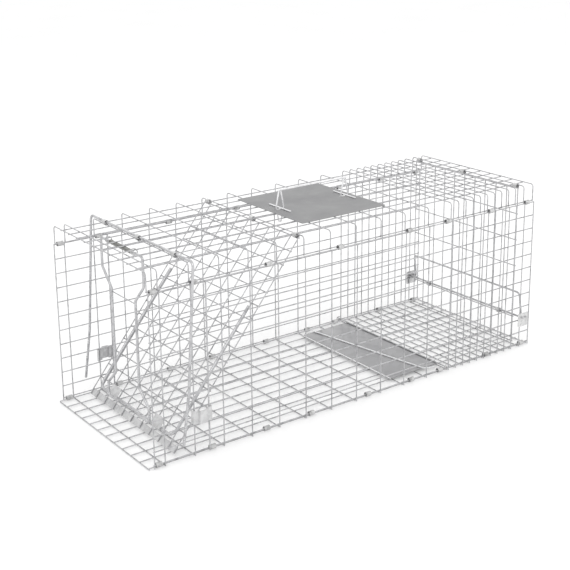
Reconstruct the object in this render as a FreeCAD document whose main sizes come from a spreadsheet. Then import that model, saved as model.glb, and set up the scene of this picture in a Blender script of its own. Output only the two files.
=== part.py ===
import FreeCAD, Part
import math
import os

# A one-door live catch cage of welded wire mesh.
# X runs from the door end (-X) to the rear wall (+X), Y across the cage, Z up.
# The origin is the middle of the footprint, on the ground.  Millimetres throughout.

Vector = FreeCAD.Vector
Rotation = FreeCAD.Rotation
Placement = FreeCAD.Placement
X_AXIS = Vector(1, 0, 0)
Y_AXIS = Vector(0, 1, 0)
Z_AXIS = Vector(0, 0, 1)

doc = FreeCAD.newDocument("live_catch_trap")
sheet = doc.addObject("Spreadsheet::Sheet", "Sheet")

SIZES = {
    # Wire mesh: wire, depth that crossing wires sink into each other at a weld
    "mesh_wire": 2.2,
    "weld_lift": 1.87,
    # Cage outline, from the front edge of the walls to the rear edge
    "front_x": -459.0,
    "cage_length": 927.0,
    "front_lip": 9.0,
    "cage_height": 356.0,
    "wall_y": 172.5,
    "edge_y": 170.0,
    # Cross wires: first gap, wide pitch over the front, close pitch at the rear
    "first_gap": 21.0,
    "wide_pitch": 61.0,
    "close_pitch": 20.333,
    "rear_wall_x": 900.0,
    # Long wires of floor and roof, rows of the side walls
    "long_pitch": 31.0,
    "row_pitch": 28.6,
    "first_row_z": 31.6,
    "bottom_row_z": 6.6,
    "wall_bottom_z": 0.5,
    # Roof edge: bend and down-turned flange
    "roof_bend": 6.0,
    "flange_row_z": 320.2,
    # Rods
    "heavy_rod": 5.0,
    "medium_rod": 4.0,
    "light_rod": 3.0,
    # Door, hung under the roof and sloping down to the front of the floor
    "door_hinge_x": 326.0,
    "hinge_z": 348.5,
    "door_foot_x": 50.0,
    "door_foot_z": 7.0,
    "door_edge_y": 156.0,
    "door_long_pitch": 33.5,
    "door_row_pitch": 28.6,
    "sill_width": 13.0,
    "sill_thickness": 1.2,
    "door_frame_y": 135.0,
    "door_frame_drop": 416.0,
    "door_frame_top": 150.0,
    # Lock bail that hangs in front of the door
    "lock_pivot_x": 48.0,
    "lock_pivot_z": 347.6,
    "lock_arm_y": 76.0,
    "lock_waist_y": 44.0,
    # Outer bail over the roof and down both walls
    "outer_bail_x": 84.0,
    "outer_bail_z": 358.8,
    "outer_bail_y": 183.0,
    # Sheet pieces
    "guard_front_x": 370.0,
    "guard_length": 205.0,
    "guard_width": 216.0,
    "guard_thickness": 1.2,
    "slot_length": 24.0,
    "slot_width": 6.0,
    "treadle_hinge_x": 686.0,
    "treadle_length": 128.0,
    "treadle_width": 292.0,
    "treadle_thickness": 1.2,
    "treadle_z": 7.7,
    "treadle_lip": 2.6,
    "post_x": 112.0,
    "catch_height": 25.2,
    "catch_z": 61.9,
    # Handle
    "handle_front_x": 397.0,
    "handle_rear_x": 558.0,
    "handle_top_z": 394.0,
    "handle_overhang": 5.0,
    # Rear wall and its lock
    "rear_edge_y": 155.0,
    "rear_rod_x": 903.2,
    "rear_rod_z": 66.6,
    "rear_bail_x": 914.0,
    "rear_bail_z": 66.0,
    "rear_bail_y": 165.0,
    "rear_bail_top_x": 906.5,
    "rear_bail_top_z": 118.0,
    # Sheet clips folded round two parallel wires: bore radius, width, sheet
    "seam_clip_bore": 3.85,
    "seam_clip_width": 12.0,
    "hinge_clip_bore": 4.5,
    "hinge_clip_width": 10.0,
    "clip_sheet": 0.8,
    # Closed wire rings round crossing rods
    "treadle_ring": 4.7,
    "treadle_ring_wire": 1.7,
    "lock_ring": 6.0,
    "lock_ring_wire": 1.8,
}

WIDE_COUNT = 11
CLOSE_COUNT = 9
LONG_COUNT = 10
ROW_COUNT = 11
SLACK = 0.2


def fill_sheet():
    for row, (alias, value) in enumerate(SIZES.items(), start=1):
        sheet.set("A%d" % row, alias)
        sheet.set("B%d" % row, str(value))
        sheet.setAlias("B%d" % row, alias)
    doc.recompute()


def size(alias):
    return float(sheet.get(alias))


fill_sheet()

WIRE = size("mesh_wire")
LIFT = size("weld_lift")
FRONT = size("front_x")
REAR = FRONT + size("cage_length")
WALL_Y = size("wall_y")
EDGE_Y = size("edge_y")
ROOF_Z = size("cage_height") - WIRE / 2
ROOF_LONG_Z = ROOF_Z - LIFT
WALL_TOP_Z = size("first_row_z") + (ROW_COUNT - 1) * size("row_pitch")


def stations():
    """Distances of the cross wires from the front edge, as sheet expressions."""
    last_wide = "Sheet.first_gap + %d * Sheet.wide_pitch" % WIDE_COUNT
    wide = ["Sheet.first_gap + %d * Sheet.wide_pitch" % k for k in range(WIDE_COUNT + 1)]
    close = ["%s + %d * Sheet.close_pitch" % (last_wide, k) for k in range(1, CLOSE_COUNT + 1)]
    return wide + close + ["Sheet.rear_wall_x", "Sheet.cage_length"]


def long_rows():
    """Places across the cage of the inner long wires of floor and roof."""
    middle = (LONG_COUNT - 1) / 2
    return ["%g * Sheet.long_pitch" % (k - middle) for k in range(LONG_COUNT)]


def wall_rows():
    """Heights of the long wires of a side wall."""
    rows = ["Sheet.first_row_z + %d * Sheet.row_pitch" % k for k in range(ROW_COUNT)]
    return ["Sheet.bottom_row_z"] + rows


def cylinder(radius, length, base, direction):
    """A straight wire: radius, length and base are sheet expressions."""
    wire = doc.addObject("Part::Cylinder", "Wire")
    wire.setExpression("Radius", radius)
    wire.setExpression("Height", length)
    wire.Placement = Placement(Vector(), Rotation(Z_AXIS, direction))
    for axis, expression in zip("xyz", base):
        wire.setExpression("Placement.Base.%s" % axis, expression)
    return wire


def mesh_wire(length, base, direction):
    return cylinder("Sheet.mesh_wire / 2", length, base, direction)


def weld(name, wires):
    """Wires welded into one solid."""
    panel = doc.addObject("Part::MultiFuse", name)
    panel.Shapes = wires
    panel.Label = name
    return panel


def group(name, members):
    """Like pieces, or one bent piece in flat stretches, kept in one node."""
    bundle = doc.addObject("Part::Compound", name)
    bundle.Links = members
    bundle.Label = name
    return bundle


def fillet_path(points, bend):
    """Straight runs joined by tangent arcs, with one bend radius or one for each corner."""
    bends = bend if isinstance(bend, list) else [bend] * (len(points) - 2)
    edges = []
    start = points[0]
    for corner, after, radius in zip(points[1:-1], points[2:], bends):
        to_start = (start - corner).normalize()
        to_after = (after - corner).normalize()
        half_angle = to_start.getAngle(to_after) / 2
        trim = radius / math.tan(half_angle)
        arc_start = corner + to_start * trim
        arc_end = corner + to_after * trim
        bisector = (to_start + to_after).normalize()
        reach = radius / math.sin(half_angle) - radius
        edges.append(Part.LineSegment(start, arc_start).toShape())
        edges.append(Part.Arc(arc_start, corner + bisector * reach, arc_end).toShape())
        start = arc_end
    edges.append(Part.LineSegment(start, points[-1]).toShape())
    return Part.Wire(edges)


def bent_rod(name, points, diameter, bend):
    """A round rod swept along straight runs and bends; diameter is a sheet alias."""
    path = doc.addObject("Part::Feature", name + "_path")
    path.Shape = fillet_path(points, bend)
    profile = doc.addObject("Part::Circle", name + "_section")
    profile.setExpression("Radius", "Sheet.%s / 2" % diameter)
    profile.Placement = Placement(points[0], Rotation(Z_AXIS, points[1] - points[0]))
    rod = doc.addObject("Part::Sweep", name)
    rod.Sections = [profile]
    rod.Spine = (path, [])
    rod.Solid = True
    rod.Frenet = False
    rod.Label = name
    return rod


def ring(centre, normal, ring_alias):
    """A closed wire ring."""
    torus = doc.addObject("Part::Torus", "Ring")
    torus.setExpression("Radius1", "Sheet.%s" % ring_alias)
    torus.setExpression("Radius2", "Sheet.%s_wire / 2" % ring_alias)
    torus.Placement = Placement(centre, Rotation(Z_AXIS, normal))
    return torus


def clip(centre, along, alias, opening=0.0, turn=0.0):
    """A sheet clip closed round two wires that run along it, or open by some degrees."""
    outer = doc.addObject("Part::Cylinder", "ClipOuter")
    inner = doc.addObject("Part::Cylinder", "ClipBore")
    outer.setExpression("Radius", "Sheet.%s_bore + Sheet.clip_sheet" % alias)
    inner.setExpression("Radius", "Sheet.%s_bore" % alias)
    outer.Angle = 360.0 - opening
    start = centre - along * (size(alias + "_width") / 2)
    for solid in (outer, inner):
        solid.setExpression("Height", "Sheet.%s_width" % alias)
        solid.Placement = Placement(start, Rotation(Z_AXIS, along) * Rotation(Z_AXIS, turn))
    sleeve = doc.addObject("Part::Cut", "Clip")
    sleeve.Base = outer
    sleeve.Tool = inner
    return sleeve


def origin_plane(body, role):
    for feature in body.Origin.OriginFeatures:
        if feature.Role == role:
            return feature
    raise ValueError("no plane " + role)


def sheet_body(name, outline, thickness, role="XY_Plane", holes=()):
    """A sheet-metal piece: an outline of straight lines, with holes, padded from its plane."""
    body = doc.addObject("PartDesign::Body", name)
    body.Label = name
    sketch = body.newObject("Sketcher::SketchObject", name + "_outline")
    sketch.AttachmentSupport = [(origin_plane(body, role), "")]
    sketch.MapMode = "FlatFace"
    for loop in [outline] + list(holes):
        for here, there in zip(loop, loop[1:] + loop[:1]):
            line = Part.LineSegment(Vector(here[0], here[1], 0), Vector(there[0], there[1], 0))
            sketch.addGeometry(line, False)
    pad = body.newObject("PartDesign::Pad", name + "_pad")
    pad.Profile = sketch
    pad.setExpression("Length", thickness)
    body.Tip = pad
    return body


def rectangle(x0, y0, x1, y1):
    return [(x0, y0), (x1, y0), (x1, y1), (x0, y1)]


def strip_outline(spine, thickness):
    """Outline of a bent strip: the spine line and its copy offset to the left."""
    count = len(spine)
    offset = []
    for index in range(count):
        before = Vector(*spine[max(index - 1, 0)], 0)
        here = Vector(*spine[index], 0)
        after = Vector(*spine[min(index + 1, count - 1)], 0)
        into = (here - before) if index else (after - here)
        out = (after - here) if index < count - 1 else into
        left_in = Vector(-into.y, into.x, 0).normalize()
        left_out = Vector(-out.y, out.x, 0).normalize()
        middle = (left_in + left_out).normalize()
        reach = thickness / middle.dot(left_in)
        moved = here + middle * reach
        offset.append((moved.x, moved.y))
    return list(spine) + offset[::-1]


def floor_panel():
    """Cross wires lie on the ground, long wires on top of them."""
    half_span = "Sheet.edge_y + Sheet.mesh_wire / 2"
    cross = [
        mesh_wire("2 * (%s)" % half_span,
                  ("Sheet.front_x + %s" % place, "-(%s)" % half_span, "Sheet.mesh_wire / 2"),
                  Y_AXIS)
        for place in ["-Sheet.front_lip"] + stations()
    ]
    length = "Sheet.cage_length + Sheet.front_lip + Sheet.mesh_wire"
    start = "Sheet.front_x - Sheet.front_lip - Sheet.mesh_wire / 2"
    height = "Sheet.mesh_wire / 2 + Sheet.weld_lift"
    places = ["-Sheet.edge_y"] + long_rows() + ["Sheet.edge_y"]
    along = [mesh_wire(length, (start, place, height), X_AXIS) for place in places]
    return weld("floor_panel", cross + along)


def side_panel(name, side):
    """A side wall: long wires inside, upright wires outside."""
    rows = [
        mesh_wire("Sheet.cage_length + Sheet.mesh_wire",
                  ("Sheet.front_x - Sheet.mesh_wire / 2", "%d * Sheet.wall_y" % side, height),
                  X_AXIS)
        for height in wall_rows()
    ]
    upright_length = ("Sheet.first_row_z + %d * Sheet.row_pitch + Sheet.mesh_wire / 2"
                      " - Sheet.wall_bottom_z" % (ROW_COUNT - 1))
    uprights = [
        mesh_wire(upright_length,
                  ("Sheet.front_x + %s" % place,
                   "%d * (Sheet.wall_y + Sheet.weld_lift)" % side,
                   "Sheet.wall_bottom_z"),
                  Z_AXIS)
        for place in ["0"] + stations()
    ]
    return weld(name, rows + uprights)


def roof_flat():
    """The flat of the roof: cross wires above, long wires below."""
    span = "2 * (Sheet.edge_y - Sheet.roof_bend)"
    cross = [
        mesh_wire(span,
                  ("Sheet.front_x + %s" % place, "-(Sheet.edge_y - Sheet.roof_bend)",
                   "Sheet.cage_height - Sheet.mesh_wire / 2"),
                  Y_AXIS)
        for place in ["0"] + stations()
    ]
    height = "Sheet.cage_height - Sheet.mesh_wire / 2 - Sheet.weld_lift"
    along = [
        mesh_wire("Sheet.cage_length + Sheet.mesh_wire",
                  ("Sheet.front_x - Sheet.mesh_wire / 2", place, height),
                  X_AXIS)
        for place in long_rows()
    ]
    return weld("roof_flat", cross + along)


def roof_flange(name, side):
    """The roof's cross wires bent down over one edge, with a long wire at the hem."""
    wires = []
    bend_z = "Sheet.cage_height - Sheet.mesh_wire / 2 - Sheet.roof_bend"
    bottom = "Sheet.flange_row_z - Sheet.mesh_wire / 2"
    for place in ["0"] + stations():
        station = "Sheet.front_x + %s" % place
        bend = doc.addObject("Part::Torus", "Bend")
        bend.setExpression("Radius1", "Sheet.roof_bend")
        bend.setExpression("Radius2", "Sheet.mesh_wire / 2")
        bend.Angle3 = 90.0
        spin = Rotation(Z_AXIS, 90.0 if side > 0 else 180.0)
        bend.Placement = Placement(Vector(), Rotation(Z_AXIS, X_AXIS) * spin)
        bend.setExpression("Placement.Base.x", station)
        bend.setExpression("Placement.Base.y", "%d * (Sheet.edge_y - Sheet.roof_bend)" % side)
        bend.setExpression("Placement.Base.z", bend_z)
        leg = mesh_wire("%s - (%s)" % (bend_z, bottom),
                        (station, "%d * Sheet.edge_y" % side, bottom), Z_AXIS)
        wires += [bend, leg]
    hem = mesh_wire("Sheet.cage_length + Sheet.mesh_wire",
                    ("Sheet.front_x - Sheet.mesh_wire / 2",
                     "%d * (Sheet.edge_y - Sheet.weld_lift)" % side,
                     "Sheet.flange_row_z"),
                    X_AXIS)
    return weld(name, wires + [hem])


def top_panel():
    flat = roof_flat()
    return group("top_panel", [flat, roof_flange("flange_near", -1), roof_flange("flange_far", 1)])


def seam_clips():
    """Clips that close the four long seams of the cage."""
    low_places = [10, 120, 238, 341, 480, 593, 671, 803.8, 910]
    high_places = [10.5, 91, 247, 410, 581, 683, 803.8, 910]
    low_z = 5.6
    high_z = 318.9
    across = EDGE_Y + 0.4
    for name, places, height in (("lower_seam_clips", low_places, low_z),
                                 ("upper_seam_clips", high_places, high_z)):
        group(name, [
            clip(Vector(FRONT + place, side * across, height), X_AXIS, "seam_clip")
            for place in places for side in (-1, 1)
        ])


def hinge_clips():
    """Clips that hang the door and the rear wall from cross wires of the roof."""
    middle_z = (ROOF_Z + size("hinge_z")) / 2
    group("door_hinge_clips", [
        clip(Vector(FRONT + size("door_hinge_x"), y, middle_z), Y_AXIS, "hinge_clip")
        for y in (-146, -8, 146)
    ])
    group("rear_hinge_clips", [
        clip(Vector(FRONT + size("rear_wall_x"), y, middle_z), Y_AXIS, "hinge_clip")
        for y in (-147, 8, 147)
    ])


def door_placement():
    """The door's own frame: X down its slope from the hinge, Y across, Z out of its front."""
    run = size("door_hinge_x") - size("door_foot_x")
    fall = size("hinge_z") - size("door_foot_z")
    down = Vector(-run, 0, -fall).normalize()
    front = Vector(-fall, 0, run).normalize()
    across = front.cross(down)
    turn = Rotation(down, across, front, "ZXY")
    return Placement(Vector(FRONT + size("door_hinge_x"), 0, size("hinge_z")), turn)


def door_length():
    run = size("door_hinge_x") - size("door_foot_x")
    fall = size("hinge_z") - size("door_foot_z")
    return math.hypot(run, fall)


def placed(shape_object, placement):
    shape_object.Placement = placement
    return shape_object


def door_panel():
    """Door mesh: cross wires at the back, long wires in front of them."""
    length = door_length()
    rows = int(length / size("door_row_pitch"))
    half_span = "Sheet.door_edge_y + Sheet.mesh_wire / 2"
    cross = [
        mesh_wire("2 * (%s)" % half_span,
                  ("%d * Sheet.door_row_pitch" % k, "-(%s)" % half_span, "0"), Y_AXIS)
        for k in range(rows)
    ]
    places = ["%d * Sheet.door_long_pitch" % k for k in range(-4, 5)]
    places = ["-Sheet.door_edge_y"] + places + ["Sheet.door_edge_y"]
    along = [
        mesh_wire("%g + Sheet.mesh_wire / 2" % length,
                  ("-Sheet.mesh_wire / 2", place, "Sheet.weld_lift"), X_AXIS)
        for place in places
    ]
    return placed(weld("door_panel", cross + along), door_placement())


def door_sill():
    """Flat strip behind the lower ends of the door's long wires."""
    length = door_length()
    half = size("door_edge_y") + WIRE / 2
    outline = rectangle(length - size("sill_width"), -half, length, half)
    body = sheet_body("door_sill_strip", outline, "Sheet.sill_thickness")
    frame = door_placement()
    back = -size("sill_thickness") + LIFT - WIRE / 2 - 0.05
    return placed(body, frame * Placement(Vector(0, 0, back), Rotation()))


def door_frame_rod():
    """U-shaped stiffener on the front of the door."""
    out = LIFT + WIRE / 2 + size("heavy_rod") / 2 + 0.05
    top = size("door_frame_top")
    drop = size("door_frame_drop")
    side = size("door_frame_y")
    points = [Vector(top, side, out), Vector(drop, side, out),
              Vector(drop, -side, out), Vector(top, -side, out)]
    rod = bent_rod("door_frame_rod", points, "heavy_rod", 14.0)
    return placed(rod, door_placement())


def lock_lugs():
    """Two bent sheet lugs on the door's lower rod that the lock bail's feet stand behind."""
    out = LIFT + WIRE / 2 + size("heavy_rod") + 0.15
    drop = size("door_frame_drop")
    half_width = 16.0
    thickness = 1.2
    spine = [(drop - 18.0, out + thickness), (drop + 4.2, out + thickness),
             (drop + 4.2, out - size("heavy_rod") - 0.1)]
    lugs = []
    for name, side in (("near_lock_lug", 1), ("far_lock_lug", -1)):
        outline = strip_outline(spine, -thickness)
        body = sheet_body(name, outline, "%g" % (2 * half_width), role="XZ_Plane")
        across = Vector(0, side * 80.0 + half_width, 0)
        lugs.append(placed(body, door_placement() * Placement(across, Rotation())))
    return lugs


def lock_bail():
    """Bottle-shaped gravity lock: top bar, arms, waist, flared feet turned inward."""
    x = FRONT + size("lock_pivot_x")
    top = size("lock_pivot_z")
    arm = size("lock_arm_y")
    waist = size("lock_waist_y")
    outline = [(38, 36), (arm, 36), (arm, 62), (waist, 92), (waist, 258), (arm, 292), (arm, top)]
    right = [Vector(x, y, z) for y, z in outline]
    left = [Vector(x, -y, z) for y, z in outline]
    rod = bent_rod("lock_bail", right + left[::-1], "heavy_rod",
                   [6, 8, 10, 10, 10, 7, 7, 10, 10, 10, 8, 6])
    tie = cylinder("Sheet.mesh_wire / 2", "2 * Sheet.lock_waist_y - Sheet.heavy_rod - 0.1",
                   ("Sheet.front_x + Sheet.lock_pivot_x",
                    "-Sheet.lock_waist_y + Sheet.heavy_rod / 2 + 0.05", "252"), Y_AXIS)
    tie.Label = "lock_bail_tie"
    return [rod, tie]


def lock_bail_spring():
    """Sleeve of the spring wound round the lock bail's top bar."""
    outer = doc.addObject("Part::Cylinder", "spring_outer")
    inner = doc.addObject("Part::Cylinder", "spring_inner")
    outer.setExpression("Radius", "Sheet.heavy_rod / 2 + 1.7")
    inner.setExpression("Radius", "Sheet.heavy_rod / 2 + 0.1")
    for part in (outer, inner):
        part.Height = 80.0
        start = Vector(FRONT + size("lock_pivot_x"), -40, size("lock_pivot_z"))
        part.Placement = Placement(start, Rotation(Z_AXIS, Y_AXIS))
    sleeve = doc.addObject("Part::Cut", "lock_bail_spring")
    sleeve.Base = outer
    sleeve.Tool = inner
    sleeve.Label = "lock_bail_spring"
    return sleeve


def lock_bail_rings():
    """Rings that tie the lock bail's top bar to two long wires of the roof."""
    turn = Vector(1, 1, 0)
    rings = [
        ring(Vector(FRONT + size("lock_pivot_x"), y, 349.6), turn, "lock_ring")
        for y in (-46.5, 46.5)
    ]
    return group("lock_bail_rings", rings)


def outer_bail():
    """Heavy rod over the roof with a leg down the outside of each wall."""
    x = FRONT + size("outer_bail_x")
    top = size("outer_bail_z")
    side = size("outer_bail_y")
    outline = [(54, 31), (68, 130), (84, top)]
    right = [Vector(FRONT + place, side, z) for place, z in outline]
    left = [Vector(FRONT + place, -side, z) for place, z in outline]
    right[-1].x = x
    left[-1].x = x
    return bent_rod("outer_bail", right + left[::-1], "heavy_rod", [60, 9, 9, 60])


def outer_bail_clips():
    """Clips that tie the outer bail to the second cross wire of the roof."""
    clips = [
        clip(Vector(FRONT + 83.2, y, 357.4), Y_AXIS, "hinge_clip")
        for y in (-124, 0, 124)
    ]
    group("outer_bail_clips", clips)


def catch_hardware():
    """Door posts on the walls, and folded catch plates that join each post to a wall wire."""
    made = []
    post_y = WALL_Y + WIRE / 2 + size("light_rod") / 2 + 0.05
    thickness = 1.2
    bulge = 5.0
    for word, side in (("near", -1), ("far", 1)):
        post = cylinder("Sheet.light_rod / 2", "%g" % (WALL_TOP_Z - 4.0),
                        ("Sheet.front_x + Sheet.post_x", "%g" % (side * post_y), "3"),
                        Z_AXIS)
        post.Label = "%s_door_post" % word
        first = FRONT + size("first_gap") + size("wide_pitch")
        last = FRONT + size("post_x")
        skin = WALL_Y + LIFT + WIRE / 2 + 1.6
        spine = [(first - 3.2, WALL_Y - 2.0), (first - 3.2, skin), (first + 7, skin),
                 (first + 9, skin + bulge), (last - 9, skin + bulge), (last - 7, skin),
                 (last + 4.2, skin), (last + 4.2, WALL_Y - 2.0)]
        spine = [(x, side * y) for x, y in spine]
        outline = strip_outline(spine, side * thickness)
        plate = sheet_body("%s_catch_plate" % word, outline, "Sheet.catch_height")
        made += [post, placed(plate, Placement(Vector(0, 0, size("catch_z")), Rotation()))]
    return made


def guard_plate():
    """Hand guard on the roof, slotted for the handle's legs."""
    front = FRONT + size("guard_front_x")
    half = size("guard_width") / 2
    outline = rectangle(front, -half, front + size("guard_length"), half)
    slots = [
        rectangle(FRONT + size(alias) - size("slot_length") / 2, -size("slot_width") / 2,
                  FRONT + size(alias) + size("slot_length") / 2, size("slot_width") / 2)
        for alias in ("handle_front_x", "handle_rear_x")
    ]
    body = sheet_body("guard_plate", outline, "Sheet.guard_thickness", holes=slots)
    return placed(body, Placement(Vector(0, 0, size("cage_height") + 0.1), Rotation()))


def carry_handle():
    """Grip along the cage, with a narrow loop of lighter wire as the leg at each end."""
    front = FRONT + size("handle_front_x")
    rear = FRONT + size("handle_rear_x")
    top = size("handle_top_z")
    half_lean = 9.0
    pieces = []
    for name, x in (("handle_leg_front", front), ("handle_leg_rear", rear)):
        points = [Vector(x + 2.2, 0, top - 0.3), Vector(x + half_lean, 0, 360),
                  Vector(x + 2.5, 0, 331), Vector(x - 2.5, 0, 331),
                  Vector(x - half_lean, 0, 360), Vector(x - 2.2, 0, top - 0.3)]
        pieces.append(bent_rod(name, points, "light_rod", [12, 2.4, 2.4, 12]))
    grip = cylinder("Sheet.medium_rod / 2",
                    "Sheet.handle_rear_x - Sheet.handle_front_x + 2 * Sheet.handle_overhang",
                    ("Sheet.front_x + Sheet.handle_front_x - Sheet.handle_overhang", "0",
                     "Sheet.handle_top_z"), X_AXIS)
    return weld("carry_handle", pieces + [grip])


def handle_pins():
    """Cross pins through the handle's loops, two above the guard and two below the roof."""
    upper = size("cage_height") + 0.1 + size("guard_thickness") + size("light_rod") / 2 + 0.1
    lower = ROOF_LONG_Z - WIRE / 2 - size("light_rod") / 2 - 0.1
    pins = []
    for alias in ("handle_front_x", "handle_rear_x"):
        for height in (upper, lower):
            pins.append(cylinder("Sheet.light_rod / 2", "70",
                                 ("Sheet.front_x + Sheet.%s" % alias, "-35",
                                  "%g" % height), Y_AXIS))
    return group("handle_cross_pins", pins)


def treadle():
    """Plate close over the floor with a down-turned front lip, its hinge rod and its arm."""
    hinge_x = FRONT + size("treadle_hinge_x")
    rear = hinge_x + 2.0
    front = rear - size("treadle_length")
    thickness = size("treadle_thickness")
    level = size("treadle_z")
    spine = [(front, level - size("treadle_lip")), (front, level), (rear, level)]
    outline = strip_outline(spine, -thickness)
    plate = sheet_body("treadle_plate", outline, "Sheet.treadle_width", role="XZ_Plane")
    plate.Placement = Placement(Vector(0, size("treadle_width") / 2, 0), Rotation())
    rod_z = treadle_rod_z()
    points = [Vector(FRONT + 590, 156, rod_z), Vector(FRONT + 645, -152, rod_z),
              Vector(FRONT + 668, -160, rod_z)]
    bent_rod("treadle_arm", points, "light_rod", 12.0)
    hinge = cylinder("Sheet.light_rod / 2", "2 * (Sheet.wall_y + 5)",
                     ("Sheet.front_x + Sheet.treadle_hinge_x", "-(Sheet.wall_y + 5)",
                      "%g" % rod_z), Y_AXIS)
    hinge.Label = "treadle_hinge_rod"


def treadle_rod_z():
    return size("treadle_z") + size("light_rod") / 2 + 0.05


def treadle_rings():
    """Rings that tie the ends of the treadle's hinge rod to the walls' bottom wires."""
    centre_x = FRONT + size("treadle_hinge_x")
    loops = [
        ring(Vector(centre_x, side * (WALL_Y + 0.8), 8.6), Vector(1, side, 0), "treadle_ring")
        for side in (-1, 1)
    ]
    return group("treadle_hinge_rings", loops)


def rear_panel():
    """Rear wall mesh, hung from the roof: uprights inside, wide-spaced rows outside."""
    rows = ["Sheet.hinge_z", "Sheet.hinge_z - 341.5"]
    rows += ["Sheet.first_row_z * 2 + %d * 2 * Sheet.row_pitch" % k for k in range(5)]
    half_span = "Sheet.rear_edge_y + Sheet.mesh_wire / 2"
    cross = [
        mesh_wire("2 * (%s)" % half_span,
                  ("Sheet.front_x + Sheet.rear_wall_x", "-(%s)" % half_span, height), Y_AXIS)
        for height in rows
    ]
    uprights = [
        mesh_wire("Sheet.hinge_z + Sheet.mesh_wire / 2 - 5.6",
                  ("Sheet.front_x + Sheet.rear_wall_x - Sheet.weld_lift", place, "5.6"),
                  Z_AXIS)
        for place in ["%d * Sheet.long_pitch" % k for k in range(-5, 6)]
    ]
    return weld("rear_panel", cross + uprights)


def rear_lock():
    """Straight rod through both wall brackets, and C clips that hold the rear wall to it."""
    rod = cylinder("Sheet.medium_rod / 2", "2 * (Sheet.wall_y + 9)",
                   ("Sheet.front_x + Sheet.rear_rod_x", "-(Sheet.wall_y + 9)",
                    "Sheet.rear_rod_z"), Y_AXIS)
    rod.Label = "rear_lock_rod"
    middle_x = FRONT + (size("rear_rod_x") + size("rear_wall_x")) / 2
    middle_z = (size("rear_rod_z") + 2 * size("first_row_z")) / 2
    clips = [
        clip(Vector(middle_x, y, middle_z), Y_AXIS, "hinge_clip", opening=70.0, turn=197.0)
        for y in (-110, 110)
    ]
    group("rear_clips", clips)


def latch_brackets():
    """Plates on the outside of the walls, bored for the lock rod and the rear bail."""
    thickness = 1.2
    hole_gap = 0.1
    for name, side in (("near_latch_bracket", -1), ("far_latch_bracket", 1)):
        inner = WALL_Y + LIFT + WIRE / 2 + SLACK
        low_y = inner if side > 0 else -inner - thickness
        plate = doc.addObject("Part::Box", "bracket_blank")
        plate.Length = 30.0
        plate.Width = thickness
        plate.Height = 30.0
        plate.Placement = Placement(Vector(FRONT + 893, low_y, 46), Rotation())
        drills = []
        for alias in ("rear_rod", "rear_bail"):
            drills.append(cylinder("Sheet.medium_rod / 2 + %g" % hole_gap, "4",
                                   ("Sheet.front_x + Sheet.%s_x" % alias, "%g" % (low_y - 1),
                                    "Sheet.%s_z" % alias), Y_AXIS))
        bracket = doc.addObject("Part::Cut", name)
        bracket.Base = plate
        bracket.Tool = group(name + "_drills", drills)
        bracket.Label = name


def rear_bail():
    """U-shaped rod that stands behind the rear wall, its ends turned out into the brackets."""
    pivot_x = FRONT + size("rear_bail_x")
    top_x = FRONT + size("rear_bail_top_x")
    side = size("rear_bail_y")
    low = size("rear_bail_z")
    high = size("rear_bail_top_z")
    right = [Vector(pivot_x, WALL_Y + 8, low), Vector(pivot_x, side, low),
             Vector(top_x, side, high)]
    left = [Vector(point.x, -point.y, point.z) for point in right]
    bent_rod("rear_bail", right + left[::-1], "medium_rod", [5, 8, 8, 5])


NODES = [
    "floor_panel", "near_side_panel", "far_side_panel", "top_panel",
    "lower_seam_clips", "upper_seam_clips", "door_hinge_clips", "rear_hinge_clips",
    "lock_bail_rings", "outer_bail_clips", "treadle_hinge_rings",
    "near_door_post", "far_door_post", "near_catch_plate", "far_catch_plate",
    "guard_plate", "carry_handle", "handle_cross_pins",
    "rear_lock_rod", "rear_clips", "near_latch_bracket", "far_latch_bracket",
    "door_panel", "door_sill_strip", "door_frame_rod", "near_lock_lug", "far_lock_lug",
    "lock_bail", "lock_bail_tie", "lock_bail_spring",
    "outer_bail",
    "treadle_plate", "treadle_arm", "treadle_hinge_rod",
    "rear_panel",
    "rear_bail",
]


def build():
    floor_panel()
    side_panel("near_side_panel", -1)
    side_panel("far_side_panel", 1)
    top_panel()
    seam_clips()
    hinge_clips()
    lock_bail_rings()
    outer_bail_clips()
    treadle_rings()
    catch_hardware()
    guard_plate()
    carry_handle()
    handle_pins()
    rear_lock()
    latch_brackets()
    door_panel()
    door_sill()
    door_frame_rod()
    lock_lugs()
    lock_bail()
    lock_bail_spring()
    outer_bail()
    treadle()
    rear_panel()
    rear_bail()


def check_and_write():
    """Stop on any failed object or bad shape, then write one STEP file for each node."""
    doc.recompute()
    failed = [item.Label for item in doc.Objects
              if "Invalid" in item.State or "Error" in item.State]
    if failed:
        raise RuntimeError("failed objects: " + ", ".join(failed))
    os.makedirs("parts", exist_ok=True)
    for name in NODES:
        found = doc.getObjectsByLabel(name)
        if len(found) != 1:
            raise RuntimeError("%d objects are called %s" % (len(found), name))
        shape = found[0].Shape
        if shape.isNull() or not shape.isValid() or not shape.Solids:
            raise RuntimeError("bad shape: " + name)
        shape.exportStep("parts/%s.step" % name)
        box = shape.BoundBox
        print("%-22s %2d solids %9.0f mm3  x %.1f..%.1f  y %.1f..%.1f  z %.2f..%.1f" % (
            name, len(shape.Solids), shape.Volume,
            box.XMin, box.XMax, box.YMin, box.YMax, box.ZMin, box.ZMax))


build()
check_and_write()
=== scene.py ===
import math
import random

import bmesh
import bpy
from mathutils import Matrix, Vector


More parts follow.
